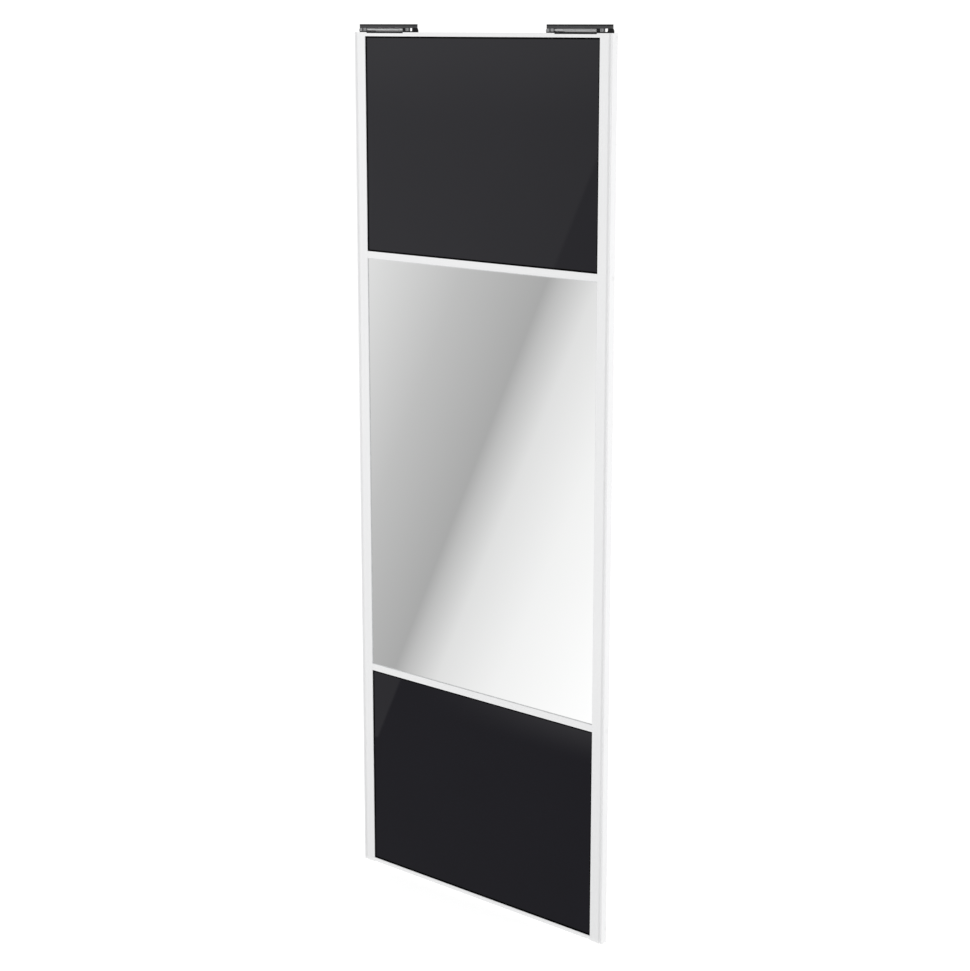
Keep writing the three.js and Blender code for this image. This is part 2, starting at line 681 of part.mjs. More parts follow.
const closerUnit = (label) => {
  const unit = new THREE.Group();
  unit.position.set(CLOSER_MIDDLES[label], 0, FRAME_TOP);
  place(unit, `closer_base_${label}`, closerBase(), darkPlastic);
  place(unit, `closer_foot_${label}`, closerFoot(), greyPlastic);
  place(unit, `closer_clip_${label}`, closerClip(), greyPlastic);
  place(unit, `closer_channel_${label}`, closerChannel(), darkSteel);
  place(unit, `damper_cylinder_${label}`, damperCylinder(), satinAluminium);
  place(unit, `damper_sleeve_${label}`, damperSleeve(), satinAluminium);
  place(unit, `damper_rod_${label}`, damperRod(), brightSteel);
  place(unit, `closer_catch_${label}`, closerCatch(), greyPlastic);
  place(unit, `closer_spring_${label}`, closerSpring(), zincSteel);
  const seats = { catch_end: 5.5, fixed_end: PLATE_TOP + GAP };
  for (const [end, along] of Object.entries(CLOSER_SCREWS)) {
    place(unit, `closer_screw_${end}_${label}`, closerScrew(along, seats[end]), zincSteel);
  }
  return unit;
};

// ---------------------------------------------------------------- the whole door

place(door, 'rail_top', railTop(), whiteLacquer);
place(door, 'rail_bottom', railBottom(), whiteLacquer);
place(door, 'divider_upper', divider(CORNERS.upper), whiteLacquer);
place(door, 'divider_lower', divider(CORNERS.lower), whiteLacquer);

const PANES = [
  { label: 'bottom', low: BOTTOM_SIGHT, sight: PANE_SIGHT_BOTTOM },
  { label: 'middle', low: LOWER_DIVIDER + DIVIDER_FACE / 2, sight: PANE_SIGHT_MIDDLE },
  { label: 'top', low: UPPER_DIVIDER + DIVIDER_FACE / 2, sight: PANE_SIGHT_TOP },
];
for (const { label, low, sight } of PANES) {
  const isMirror = label === 'middle';
  const lip = isMirror ? CLEAR_LIP : BLACK_LIP;
  const paneName = isMirror ? 'mirror_middle' : `glass_${label}`;
  place(door, paneName, pane(low, low + sight), isMirror ? mirrorGlass : blackGlass);
  place(door, `safety_film_${label}`, film(low, low + sight, lip), paleFilm);
  const seal = gasket(low, low + sight, lip);
  place(door, `gasket_${label}`, seal, isMirror ? clearRubber : blackRubber);
}

for (const [side, label] of [[-1, 'left'], [1, 'right']]) {
  place(door, `stile_${label}`, stile(side), whiteLacquer);
  for (const [level, corner] of Object.entries(CORNERS)) {
    place(door, `frame_screw_${level}_${label}`, frameScrew(side, corner), zincSteel);
  }
  place(door, `stile_plug_${label}`, stilePlug(side), whitePlastic);
  door.add(rollerUnit(side, label));
  door.add(closerUnit(label));
}

export default door;
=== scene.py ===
import json
import math

import bmesh
import bpy
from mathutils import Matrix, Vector


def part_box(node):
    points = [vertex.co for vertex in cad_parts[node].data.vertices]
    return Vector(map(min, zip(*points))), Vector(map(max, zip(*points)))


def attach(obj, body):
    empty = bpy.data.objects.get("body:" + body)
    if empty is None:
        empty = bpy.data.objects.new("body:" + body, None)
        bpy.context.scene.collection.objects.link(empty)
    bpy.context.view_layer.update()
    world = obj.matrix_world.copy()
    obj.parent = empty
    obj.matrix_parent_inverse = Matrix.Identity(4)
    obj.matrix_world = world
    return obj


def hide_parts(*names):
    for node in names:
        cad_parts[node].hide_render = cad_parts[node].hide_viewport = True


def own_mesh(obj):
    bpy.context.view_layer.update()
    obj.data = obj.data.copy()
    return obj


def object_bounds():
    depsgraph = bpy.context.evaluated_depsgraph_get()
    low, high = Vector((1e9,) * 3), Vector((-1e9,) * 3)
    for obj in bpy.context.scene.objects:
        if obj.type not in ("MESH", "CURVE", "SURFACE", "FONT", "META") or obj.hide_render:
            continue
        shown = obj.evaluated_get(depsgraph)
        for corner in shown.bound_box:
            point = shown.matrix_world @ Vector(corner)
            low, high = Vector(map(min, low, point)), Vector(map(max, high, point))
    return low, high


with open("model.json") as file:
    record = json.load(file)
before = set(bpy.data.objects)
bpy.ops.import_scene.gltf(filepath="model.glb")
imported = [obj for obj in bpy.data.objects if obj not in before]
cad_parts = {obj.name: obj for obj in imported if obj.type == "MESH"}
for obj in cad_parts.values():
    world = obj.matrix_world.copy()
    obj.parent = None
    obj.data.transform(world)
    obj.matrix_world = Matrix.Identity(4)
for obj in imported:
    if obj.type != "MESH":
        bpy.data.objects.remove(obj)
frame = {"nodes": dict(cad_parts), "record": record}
cad_low, cad_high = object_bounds()

MM = 0.001
SIDES = ("left", "right")
LEVELS = ("bottom", "lower", "upper", "top")
PANES = {"bottom": "glass_bottom", "middle": "mirror_middle", "top": "glass_top"}
OUTWARD = {"left": -1, "right": 1}  # which way along X leads out of the door on each side
SHARP_ANGLE = math.radians(32)  # edges sharper than this are shaded as edges


# ---------------------------------------------------------------- camera and studio

# The camera stands level with the door's top, to the right of it, and looks slightly down.
CAMERA_PLACE = Vector((3.846, -4.235, 2.481))
CAMERA_AZIMUTH = math.radians(42.093)
CAMERA_DIP = math.radians(12.379)
CAMERA_LENS = 78.31
WORLD_WHITE = 0.55
BACKDROP_WHITE = 1.1


def make_camera():
    data = bpy.data.cameras.new("camera")
    data.lens = CAMERA_LENS
    data.sensor_width = 36
    camera = bpy.data.objects.new("camera", data)
    bpy.context.scene.collection.objects.link(camera)
    camera.location = CAMERA_PLACE
    camera.rotation_euler = (math.pi / 2 - CAMERA_DIP, 0, CAMERA_AZIMUTH)
    bpy.context.scene.camera = camera


def make_world():
    world = bpy.data.worlds.new("studio")
    world.use_nodes = True
    sky = world.node_tree.nodes["Background"]
    sky.inputs["Color"].default_value = (1, 1, 1, 1)
    sky.inputs["Strength"].default_value = WORLD_WHITE
    bpy.context.scene.world = world
    bpy.context.scene.view_settings.view_transform = "Standard"


def make_light(name, place, aim, width, height, power):
    data = bpy.data.lights.new(name, "AREA")
    data.shape = "RECTANGLE"
    data.size = width
    data.size_y = height
    data.energy = power
    light = bpy.data.objects.new(name, data)
    bpy.context.scene.collection.objects.link(light)
    light.location = place
    light.rotation_euler = (Vector(aim) - Vector(place)).to_track_quat("-Z", "Y").to_euler()
    light.visible_camera = False
    light.visible_glossy = False


make_camera()
make_world()
make_light("front_left", (-3.2, -4.2, 3.0), (0, 0, 1.3), 2.2, 3.0, 72)
make_light("right_edge", (4.5, 0.6, 2.4), (0, 0, 1.2), 2.0, 3.0, 55)
make_light("back_fill", (-1.5, 4.5, 2.6), (0, 0, 1.2), 2.5, 2.5, 55)


# ---------------------------------------------------------------- shader helpers


class Finish:
    """A Principled material, with short calls for the nodes that feed it."""

    def __init__(self, name, **constants):
        self.material = bpy.data.materials.new(name)
        self.material.use_nodes = True
        self.tree = self.material.node_tree
        self.shader = self.tree.nodes["Principled BSDF"]
        for socket, value in constants.items():
            self.set(socket.replace("_", " "), value)
        self.place = self.tree.nodes.new("ShaderNodeTexCoord").outputs["Object"]

    def set(self, socket, value):
        self.shader.inputs[socket].default_value = value

    def node(self, kind, settings=None, **sockets):
        node = self.tree.nodes.new(kind)
        for name, value in (settings or {}).items():
            setattr(node, name, value)
        for name, value in sockets.items():
            self.feed(node.inputs[name.replace("_", " ")], value)
        return node

    def feed(self, socket, value):
        if isinstance(value, bpy.types.NodeSocket):
            self.tree.links.new(value, socket)
        else:
            socket.default_value = value

    def link(self, output, socket):
        self.tree.links.new(output, self.shader.inputs[socket])

    def stretched(self, scale):
        return self.node("ShaderNodeMapping", Vector=self.place, Scale=scale).outputs[0]

    def noise(self, scale, detail=3.0, stretch=(1, 1, 1)):
        return self.node(
            "ShaderNodeTexNoise",
            Vector=self.stretched(stretch),
            Scale=scale,
            Detail=detail,
            Roughness=0.5,
        ).outputs["Fac"]

    def wave(self, scale, direction, distortion=0.0):
        return self.node(
            "ShaderNodeTexWave",
            {"bands_direction": direction},
            Vector=self.place,
            Scale=scale,
            Distortion=distortion,
        ).outputs["Fac"]

    def between(self, value, low, high, from_low=0.3, from_high=0.7):
        node = self.node("ShaderNodeMapRange")
        self.feed(node.inputs["Value"], value)
        for name, number in (
            ("From Min", from_low),
            ("From Max", from_high),
            ("To Min", low),
            ("To Max", high),
        ):
            node.inputs[name].default_value = number
        return node.outputs["Result"]

    def colour(self, fac, first, second):
        node = self.node("ShaderNodeMix", {"data_type": "RGBA"})
        self.feed(node.inputs[0], fac)
        node.inputs[6].default_value = (*first, 1)
        node.inputs[7].default_value = (*second, 1)
        return node.outputs[2]

    def sum(self, first, second, share=1.0):
        node = self.node("ShaderNodeMath", {"operation": "MULTIPLY_ADD"})
        self.feed(node.inputs[0], second)
        node.inputs[1].default_value = share
        self.feed(node.inputs[2], first)
        return node.outputs[0]

    def bump(self, height, distance, strength=1.0):
        node = self.node("ShaderNodeBump", Height=height, Distance=distance, Strength=strength)
        self.link(node.outputs["Normal"], "Normal")


def coloured(finish, scale, first, second):
    """Slow, faint colour variation over the whole piece."""
    spread = finish.between(finish.noise(scale, 4.0), 0, 1)
    finish.link(finish.colour(spread, first, second), "Base Color")


def roughened(finish, scale, low, high, detail=4.0):
    """Uneven gloss over the whole piece."""
    spread = finish.noise(scale, detail)
    finish.link(finish.between(spread, low, high), "Roughness")


# ---------------------------------------------------------------- materials


def white_lacquer():
    """Stoved white lacquer: faint orange peel, slightly uneven gloss."""
    finish = Finish("white_lacquer", IOR=1.5, Coat_Weight=0.25, Coat_Roughness=0.12)
    coloured(finish, 3.0, (0.85, 0.852, 0.857), (0.87, 0.872, 0.876))
    roughened(finish, 90, 0.30, 0.40)
    finish.bump(finish.sum(finish.noise(900, 2), finish.noise(260, 2), 1.6), 0.00004)
    return finish.material


def white_plastic():
    """Moulded white plastic, duller than the lacquer round it."""
    finish = Finish("white_plastic", IOR=1.46)
    coloured(finish, 60, (0.82, 0.822, 0.826), (0.845, 0.847, 0.85))
    roughened(finish, 300, 0.38, 0.5)
    finish.bump(finish.noise(2500, 2), 0.00003)
    return finish.material


def black_glass():
    """Float glass painted black on its back: an even, deep reflection, and the lightest
    unevenness of cleaning in its gloss."""
    finish = Finish("black_glass", IOR=1.5, Specular_IOR_Level=0.3)
    coloured(finish, 2.0, (0.0034, 0.003, 0.0064), (0.0046, 0.0041, 0.0079))
    roughened(finish, 9, 0.012, 0.03, detail=6)
    finish.bump(finish.noise(1.6, 1), 0.0006, 0.05)
    return finish.material


def black_paint():
    """The paint on the back of the black panes."""
    finish = Finish("black_paint", IOR=1.45)
    coloured(finish, 25, (0.012, 0.012, 0.013), (0.02, 0.02, 0.022))
    roughened(finish, 60, 0.4, 0.6)
    finish.bump(finish.noise(700, 3), 0.00005)
    return finish.material


def mirror_silver():
    """Silvered float glass."""
    finish = Finish("mirror_silver", Metallic=1.0)
    coloured(finish, 1.5, (0.925, 0.93, 0.927), (0.935, 0.938, 0.936))
    roughened(finish, 8, 0.0, 0.012, detail=5)
    return finish.material


def mirror_paint():
    """The grey protective paint on the mirror's back."""
    finish = Finish("mirror_paint", IOR=1.45)
    coloured(finish, 20, (0.17, 0.175, 0.18), (0.22, 0.225, 0.23))
    roughened(finish, 80, 0.45, 0.6)
    finish.bump(finish.noise(600, 3), 0.00006)
    return finish.material


def glass_edge():
    """The ground edge of float glass, faintly green."""
    finish = Finish("glass_edge", IOR=1.5)
    coloured(finish, 400, (0.16, 0.24, 0.22), (0.22, 0.31, 0.28))
    roughened(finish, 900, 0.25, 0.5)
    finish.bump(finish.noise(3000, 2), 0.00003)
    return finish.material


def safety_film():
    """Woven safety film: flat tapes crossing at right angles under a clear skin."""
    finish = Finish("safety_film", IOR=1.45, Coat_Weight=0.3, Coat_Roughness=0.25)
    tapes = finish.sum(finish.wave(70, "X", 0.3), finish.wave(70, "Z", 0.3))
    share = finish.between(tapes, 0, 1, 0.2, 1.8)
    finish.link(finish.colour(share, (0.43, 0.44, 0.45), (0.56, 0.57, 0.575)), "Base Color")
    roughened(finish, 40, 0.35, 0.5)
    finish.bump(finish.sum(tapes, finish.noise(4, 3), 3.0), 0.00012)
    return finish.material


def rubber(name, dark, light, low, high):
    """Extruded gasket rubber: fine lines along it and a slight bloom."""
    finish = Finish(name, IOR=1.5, Specular_IOR_Level=0.03)
    coloured(finish, 35, dark, light)
    roughened(finish, 120, low, high)
    finish.bump(finish.noise(1600, 3), 0.00004)
    return finish.material


def zinc():
    """Bright zinc plating: fine crystals and a cool passivated tint."""
    finish = Finish("zinc", Metallic=1.0)
    cells = finish.node("ShaderNodeTexVoronoi", Vector=finish.place, Scale=900).outputs["Color"]
    grain = finish.node("ShaderNodeSeparateColor", Color=cells).outputs[0]
    share = finish.between(grain, 0, 1, 0, 1)
    finish.link(finish.colour(share, (0.56, 0.57, 0.6), (0.66, 0.67, 0.68)), "Base Color")
    finish.link(finish.between(grain, 0.28, 0.42, 0, 1), "Roughness")
    finish.bump(finish.noise(1800, 3), 0.00003)
    return finish.material


def dark_plastic():
    """Moulded dark plastic with a fine spark-eroded grain."""
    finish = Finish("dark_plastic", IOR=1.5, Specular_IOR_Level=0.1)
    coloured(finish, 90, (0.007, 0.007, 0.008), (0.012, 0.012, 0.013))
    roughened(finish, 500, 0.4, 0.55)
    finish.bump(finish.noise(3200, 3), 0.00006)
    return finish.material


def grey_plastic():
    """Moulded mid-grey plastic with a fine grain."""
    finish = Finish("grey_plastic", IOR=1.5, Specular_IOR_Level=0.35)
    coloured(finish, 80, (0.24, 0.244, 0.25), (0.29, 0.294, 0.3))
    roughened(finish, 400, 0.38, 0.52)
    finish.bump(finish.noise(2600, 3), 0.00005)
    return finish.material


SHADE_STRIP_DEPTH = 4.0 * MM  # depth of the painted shade down from the closers' channels' top: a near-black band standing in for the shade along their top edge


def dark_steel():
    """Dark grey powder coat on folded steel, with painted shade along the channels' top: a
    near-black band standing in for the shade along their top edge.
    """
    finish = Finish("dark_steel", IOR=1.5, Specular_IOR_Level=0.2)
    spread = finish.between(finish.noise(50, 4), 0, 1)
    grey = finish.colour(spread, (0.046, 0.046, 0.048), (0.058, 0.058, 0.061))
    height = finish.node("ShaderNodeSeparateXYZ", Vector=finish.place).outputs["Z"]
    # Painted shade: this finish turns near-black within the band's depth of the model's highest
    # point, in place of the shade along the channels' top edge.
    painted_shade_strip = finish.node("ShaderNodeMix", {"data_type": "RGBA"})
    start = cad_high.z - SHADE_STRIP_DEPTH
    finish.feed(painted_shade_strip.inputs[0], finish.between(height, 0, 1, start, start + 0.3 * MM))
    finish.feed(painted_shade_strip.inputs[6], grey)
    painted_shade_strip.inputs[7].default_value = (0.009, 0.009, 0.01, 1)
    finish.link(painted_shade_strip.outputs[2], "Base Color")
    roughened(finish, 200, 0.34, 0.46)
    finish.bump(finish.noise(1500, 3), 0.00005)
    return finish.material


def bright_steel():
    """Polished steel with fine turning lines."""
    finish = Finish("bright_steel", Metallic=1.0)
    coloured(finish, 30, (0.6, 0.605, 0.612), (0.68, 0.684, 0.69))
    lines = finish.noise(400, 2, (12, 1, 1))
    finish.link(finish.between(lines, 0.14, 0.26), "Roughness")
    finish.bump(lines, 0.00002)
    return finish.material


def satin_aluminium():
    """Drawn aluminium tube, clear anodised: soft sheen with fine lines along it."""
    finish = Finish("satin_aluminium", Metallic=0.5)
    coloured(finish, 30, (0.8, 0.804, 0.81), (0.88, 0.884, 0.89))
    lines = finish.noise(500, 2, (1, 9, 9))
    finish.link(finish.between(lines, 0.38, 0.5), "Roughness")
    finish.bump(lines, 0.00002)
    return finish.material


def pale_nylon():
    """Natural nylon, slightly translucent."""
    finish = Finish("pale_nylon", IOR=1.53, Subsurface_Weight=0.15)
    finish.set("Subsurface Radius", (0.004, 0.003, 0.002))
    coloured(finish, 120, (0.66, 0.64, 0.58), (0.72, 0.7, 0.64))
    roughened(finish, 300, 0.3, 0.45)
    finish.bump(finish.noise(1200, 2), 0.00004)
    return finish.material


MATERIALS = {
    "white_lacquer": white_lacquer(),
    "white_plastic": white_plastic(),
    "black_glass": black_glass(),
    "mirror": mirror_silver(),
    "pale_film": safety_film(),
    "black_rubber": rubber("black_rubber", (0.0006,) * 3, (0.0014,) * 3, 0.6, 0.8),
    "clear_rubber": rubber("clear_rubber", (0.62, 0.63, 0.635), (0.7, 0.71, 0.715), 0.3, 0.45),
    "zinc_steel": zinc(),
    "dark_plastic": dark_plastic(),
    "grey_plastic": grey_plastic(),
    "dark_steel": dark_steel(),
    "bright_steel": bright_steel(),
    "satin_aluminium": satin_aluminium(),
    "pale_nylon": pale_nylon(),
}
BLACK_PAINT = black_paint()
MIRROR_PAINT = mirror_paint()
GLASS_EDGE = glass_edge()
SLOT_OF = {row["node"]: row["material_slot"] for row in frame["record"]["subparts"]}


# ---------------------------------------------------------------- floor and reflection cards


def stage_mesh(name, corners, faces, material):
    mesh = bpy.data.meshes.new(name)
    mesh.from_pydata(corners, [], faces)
    thing = bpy.data.objects.new(name, mesh)
    bpy.context.scene.collection.objects.link(thing)
    mesh.materials.append(material)
    return thing


def stage_plane(name, corners, material):
    return stage_mesh(name, corners, [(0, 1, 2, 3)], material)


def floor_finish():
    """A pale matt floor that glows a little, so that shadows on it stay faint."""
    finish = Finish("studio_floor", IOR=1.4, Specular_IOR_Level=0.2)
    coloured(finish, 0.7, (0.36, 0.36, 0.361), (0.375, 0.375, 0.376))
    roughened(finish, 30, 0.7, 0.85)
    finish.set("Emission Color", (1, 1, 1, 1))
    finish.set("Emission Strength", 0.82)
    finish.bump(finish.noise(220, 2), 0.00008)
    return finish.material


FLOOR_HALF = 40
stage_plane(
    "floor",
    [
        (-FLOOR_HALF, -FLOOR_HALF, 0),
        (FLOOR_HALF, -FLOOR_HALF, 0),
        (FLOOR_HALF, FLOOR_HALF, 0),
        (-FLOOR_HALF, FLOOR_HALF, 0),
    ],
    floor_finish(),
)


def backdrop():
    """A white wall all round, far off, seen by the camera only."""
    radius, height, sides = 39, 40, 48
    corners = []
    for level in (0, height):
        for i in range(sides):
            angle = 2 * math.pi * i / sides
            corners.append((radius * math.cos(angle), radius * math.sin(angle), level))
    faces = []
    for i in range(sides):
        j = (i + 1) % sides
        faces.append((i, j, sides + j, sides + i))
    finish = Finish("backdrop", Specular_IOR_Level=0)
    coloured(finish, 0.2, (0.001, 0.001, 0.001), (0.002, 0.002, 0.002))
    finish.set("Emission Color", (1, 1, 1, 1))
    finish.set("Emission Strength", BACKDROP_WHITE)
    finish.material.cycles.emission_sampling = "NONE"
    wall = stage_mesh("backdrop", corners, faces, finish.material)
    wall.visible_glossy = False
    wall.visible_diffuse = False
    wall.visible_transmission = False
    wall.visible_shadow = False


backdrop()


class Card(Finish):
    """A studio card seen only in reflections: grey where it stands, clear elsewhere."""

    def __init__(self, name):
        super().__init__(name)
        self.tree.nodes.remove(self.shader)
        self.material.cycles.emission_sampling = "NONE"
        self.parts = self.node("ShaderNodeSeparateXYZ", Vector=self.place).outputs

    def math(self, operation, *values):
        node = self.node("ShaderNodeMath", {"operation": operation})
        for socket, value in zip(node.inputs, values):
            self.feed(socket, value)
        return node.outputs[0]

    def step(self, value, start, end):
        """0 before start, 1 after end, smooth between; start may be the larger."""
        node = self.node("ShaderNodeMapRange", {"interpolation_type": "SMOOTHSTEP"})
        self.feed(node.inputs["Value"], value)
        low, high = sorted((start, end))
        node.inputs["From Min"].default_value = low
        node.inputs["From Max"].default_value = high
        node.inputs["To Min"].default_value = 0.0 if start < end else 1.0
        node.inputs["To Max"].default_value = 1.0 if start < end else 0.0
        return node.outputs["Result"]

    def ramp(self, value, low, high, stops):
        """Grey levels against value; stops are (value, level) pairs between low and high."""
        share = self.node("ShaderNodeMapRange")
        self.feed(share.inputs["Value"], value)
        share.inputs["From Min"].default_value = low
        share.inputs["From Max"].default_value = high
        node = self.node("ShaderNodeValToRGB", Fac=share.outputs["Result"])
        band = node.color_ramp.elements
        while len(band) < len(stops):
            band.new(0.5)
        for element, (at, level) in zip(band, stops):
            element.position = (at - low) / (high - low)
            element.color = (level, level, level, 1)
        return node.outputs["Color"]

    def mixed(self, share, first, second):
        node = self.node("ShaderNodeMix", {"data_type": "RGBA"})
        self.feed(node.inputs[0], share)
        self.feed(node.inputs[6], first)
        self.feed(node.inputs[7], second)
        return node.outputs[2]

    def finish(self, level, opacity):
        glow = self.node("ShaderNodeEmission", Strength=1.0)
        self.feed(glow.inputs["Color"], level)
        clear = self.node("ShaderNodeBsdfTransparent")
        mix = self.node("ShaderNodeMixShader")
        self.feed(mix.inputs[0], opacity)
        self.tree.links.new(clear.outputs[0], mix.inputs[1])
        self.tree.links.new(glow.outputs[0], mix.inputs[2])
        out = self.tree.nodes["Material Output"]
        self.tree.links.new(mix.outputs[0], out.inputs["Surface"])
        return self.material


def only_in_reflections(card):
    card.visible_camera = False
    card.visible_diffuse = False
    card.visible_transmission = False
    card.visible_shadow = False
    card.visible_volume_scatter = False


CARD_Y = -0.8  # how far the slanting card stands before the door
BOTTOM_PANE_LEVEL = (0.37, 0.37, 0.37, 1)
mirror_low, mirror_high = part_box("mirror_middle")
MIRROR_FRONT = mirror_low.y
# The camera's mirror image, from which the card is seen straight through the mirror.
SEEN_FROM = Vector((CAMERA_PLACE.x, 2 * MIRROR_FRONT - CAMERA_PLACE.y, CAMERA_PLACE.z))
CARD_SCALE = (SEEN_FROM.y - CARD_Y) / (SEEN_FROM.y - MIRROR_FRONT)


def on_card(x, z):
    """Where the camera sees the card through this point of the mirror."""
    return (
        SEEN_FROM.x + CARD_SCALE * (x - SEEN_FROM.x),
        SEEN_FROM.z + CARD_SCALE * (z - SEEN_FROM.z),
    )


# Where the card's edge crosses the mirror's top and bottom, in half widths from its middle.
EDGE_TOP, EDGE_FOOT = 0.58, -0.76
# Grey levels against the distance to the right of that edge, as seen in the mirror and in
# the top pane.
MIRROR_LEVELS = [
    (-0.78, 0.78),
    (-0.36, 0.555),
    (0.0, 0.43),
    (0.055, 0.55),
    (0.20, 0.80),
    (0.46, 0.95),
    (0.9, 1.08),
]
TOP_PANE_LEVELS = [(-0.7, 0.97), (0.0, 0.92), (0.015, 0.7), (0.3, 0.68)]
TOP_GLOW = (1.35, 1.35, 1.35, 1)
LOW_GLOW = (1.0, 1.0, 1.0, 1)


def diagonal_card():
    """The slanting grey card whose edge crosses the mirror from low left to high right. The
    panes above and below the mirror see greys of their own."""
    half = mirror_high.x
    top_x, top_z = on_card(EDGE_TOP * half, mirror_high.z - 0.02)
    low_x, low_z = on_card(EDGE_FOOT * half, mirror_low.z + 0.02)
    lean = (top_x - low_x) / (top_z - low_z)
    left, _ = on_card(-half, 0)
    right, _ = on_card(half, 0)
    upper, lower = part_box("divider_upper"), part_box("divider_lower")
    _, top_edge = on_card(0, (upper[0].z + upper[1].z) / 2)
    _, low_edge = on_card(0, (lower[0].z + lower[1].z) / 2)
    _, top_end = on_card(0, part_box("glass_top")[1].z)

    card = Card("reflection_card")
    x, z = card.parts["X"], card.parts["Z"]
    across = card.math("SUBTRACT", x, low_x)
    rise = card.math("SUBTRACT", z, low_z)
    beside = card.math("SUBTRACT", across, card.math("MULTIPLY", rise, lean))
    mirror_level = card.ramp(beside, -0.8, 0.95, MIRROR_LEVELS)

    high_glow = card.math("MULTIPLY", card.step(z, top_end - 0.3, top_end), 0.5)
    top_level = card.ramp(beside, -0.8, 0.4, TOP_PANE_LEVELS)
    top_level = card.mixed(high_glow, top_level, TOP_GLOW)

    rim = card.step(z, low_edge - 0.13, low_edge + 0.02)
    rim = card.math("MULTIPLY", rim, card.step(x, left + 0.2, right))
    corner = card.math("MULTIPLY", card.step(beside, 0.052, 0.037), 0.5)
    low_level = card.mixed(card.math("MAXIMUM", rim, corner), BOTTOM_PANE_LEVEL, LOW_GLOW)

    in_top = card.step(z, top_edge - 0.02, top_edge + 0.02)
    in_bottom = card.step(z, low_edge + 0.01, low_edge - 0.01)
    level = card.mixed(in_top, mirror_level, top_level)
    level = card.mixed(in_bottom, level, low_level)
    left_end = card.step(x, left - 0.25, left - 0.1)
    right_end = card.step(x, right + 0.25, right + 0.05)
    material = card.finish(level, card.math("MULTIPLY", left_end, right_end))
    foot, head = 0.005, cad_high.z + 0.1
    plane = stage_plane(
        "reflection_card",
        [
            (left - 0.3, CARD_Y, foot),
            (right + 0.3, CARD_Y, foot),
            (right + 0.3, CARD_Y, head),
            (left - 0.3, CARD_Y, head),
        ],
        material,
    )
    only_in_reflections(plane)


def floor_card():
    """The same grey on the floor, from the door out to the foot of the slanting card, so that
    the lowest pane reflects one even tone."""
    far, near = CARD_Y - 0.03, -0.012
    left, right = -2.2, 0.8
    card = Card("floor_card")
    material = card.finish(BOTTOM_PANE_LEVEL, 1.0)
    plane = stage_plane(
        "floor_card",
        [(left, far, 0.01), (right, far, 0.01), (right, near, 0.01), (left, near, 0.01)],
        material,
    )
    only_in_reflections(plane)


diagonal_card()
floor_card()


# ---------------------------------------------------------------- mesh helpers


def smooth_by_angle_nodes():
    """A node group that shades a mesh smooth except across its sharp edges."""
    group = bpy.data.node_groups.new("smooth_by_angle", "GeometryNodeTree")
    group.interface.new_socket("Geometry", in_out="INPUT", socket_type="NodeSocketGeometry")
    group.interface.new_socket("Geometry", in_out="OUTPUT", socket_type="NodeSocketGeometry")
    nodes, links = group.nodes, group.links
    start = nodes.new("NodeGroupInput")
    end = nodes.new("NodeGroupOutput")
    faces = nodes.new("GeometryNodeSetShadeSmooth")
    edges = nodes.new("GeometryNodeSetShadeSmooth")
    edges.domain = "EDGE"
    edges.inputs["Shade Smooth"].default_value = False
    angle = nodes.new("GeometryNodeInputMeshEdgeAngle")
    sharp = nodes.new("FunctionNodeCompare")
    sharp.operation = "GREATER_THAN"
    sharp.inputs[1].default_value = SHARP_ANGLE
    links.new(angle.outputs["Unsigned Angle"], sharp.inputs[0])
    links.new(sharp.outputs[0], edges.inputs["Selection"])
    links.new(start.outputs[0], faces.inputs["Geometry"])
    links.new(faces.outputs[0], edges.inputs["Geometry"])
    links.new(edges.outputs[0], end.inputs[0])
    return group


SMOOTH_NODES = smooth_by_angle_nodes()


def soften(piece, radius, segments=2):
    """Rounds a piece's edges with modifiers, leaving its own mesh as it is."""
    weld = piece.modifiers.new("weld", "WELD")
    weld.merge_threshold = 0.000005
    flatten = piece.modifiers.new("flatten", "DECIMATE")
    flatten.decimate_type = "DISSOLVE"
    flatten.angle_limit = math.radians(0.5)
    bevel = piece.modifiers.new("bevel", "BEVEL")
    bevel.width = radius
    bevel.segments = segments
    bevel.limit_method = "ANGLE"
    bevel.angle_limit = SHARP_ANGLE
    bevel.use_clamp_overlap = True
    smooth = piece.modifiers.new("smooth", "NODES")
    smooth.node_group = SMOOTH_NODES
    flats = piece.modifiers.new("flats", "WEIGHTED_NORMAL")
    flats.keep_sharp = True
    flats.weight = 100


def new_piece(name, bm, material, body="door", node=None):
    """Puts a finished bmesh in the scene, riding on a body and standing for a CAD node."""
    bmesh.ops.recalc_face_normals(bm, faces=bm.faces)
    mesh = bpy.data.meshes.new(name)
    bm.to_mesh(mesh)
    bm.free()
    mesh.shade_smooth()
    mesh.set_sharp_from_angle(angle=SHARP_ANGLE)
    piece = bpy.data.objects.new(name, mesh)
    bpy.context.scene.collection.objects.link(piece)
    for each in material if isinstance(material, (list, tuple)) else [material]:
        mesh.materials.append(each)
    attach(piece, body)
    if node:
        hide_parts(node)
    return piece


# ---------------------------------------------------------------- turned, swept and framed shapes

TURN = 2 * math.pi
AXIS_PLACES = {
    "X": lambda along, u, v: (along, u, v),
    "Y": lambda along, u, v: (u, along, v),
    "Z": lambda along, u, v: (u, v, along),
}


